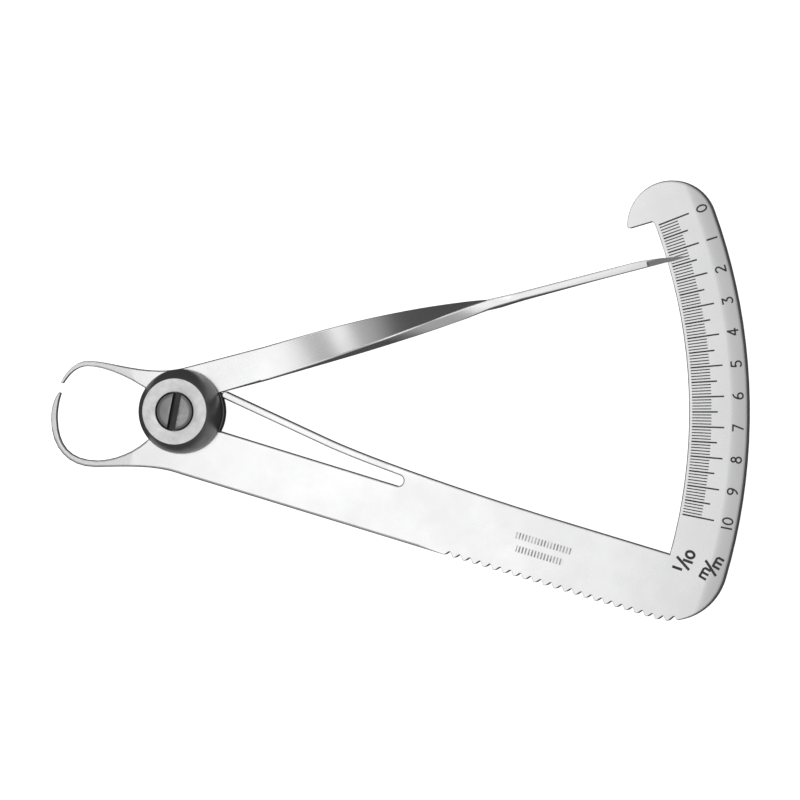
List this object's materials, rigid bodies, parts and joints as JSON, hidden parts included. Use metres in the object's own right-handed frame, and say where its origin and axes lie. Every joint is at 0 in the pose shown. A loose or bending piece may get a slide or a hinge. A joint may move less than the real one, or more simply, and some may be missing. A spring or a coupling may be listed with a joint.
{
  "type": "decimal spring caliper",
  "caption": "Two-lever spring caliper with curved jaws; a twisted pointer lever magnifies the jaw gap on an engraved arc scale, held by a cut-out spring finger.",
  "frame": {"origin": "on the pivot axis, at the flat back of the rear disc that the caliper lies on", "axes": "+X from the pivot to the middle of the arc scale, so the jaws point to -X; +Z towards the engraved side and the slotted screw; +Y towards the scale's zero"},
  "size_m": [0.1009, 0.0617, 0.008],
  "materials": {
    "satin_steel": "satin ground stainless sheet with rounded edges",
    "turned_steel": "turned, with a matt ring on top and a polished flank",
    "screw_steel": "turned screw steel",
    "spring_steel": "plain spring steel",
    "bronze": "rolled bronze shim",
    "black_filling": "matt black filling in the engraving"
  },
  "bodies": {
    "frame": {"fixed_plate": "satin_steel", "pivot_sleeve": "turned_steel", "front_disc": "turned_steel", "rear_disc": "turned_steel", "pivot_screw": "screw_steel", "disc_spring": "spring_steel", "shim_washer": "bronze", "tenth_marks": "black_filling", "half_marks": "black_filling", "millimetre_marks": "black_filling", "scale_numerals": "black_filling", "unit_marks": "black_filling"},
    "lever": {"pointer_arm": "satin_steel"},
    "finger": {"spring_finger": "satin_steel"}
  },
  "joints": [
    {"name": "arm", "type": "hinge", "parent": "frame", "child": "lever", "pos_m": [0, 0, 0], "axis": [0, 0, -1], "range_deg": [-4.1, 27.66], "stiffness_Nm_per_rad": 0.22},
    {"name": "finger_flex", "type": "hinge", "parent": "frame", "child": "finger", "pos_m": [0.02829, -0.00722, 0], "axis": [0, 0, 1], "range_deg": [-1.5, 9]}
  ],
  "couplings": [
    {"joint": "finger_flex", "follows": "arm", "ratio": 0.31}
  ]
}
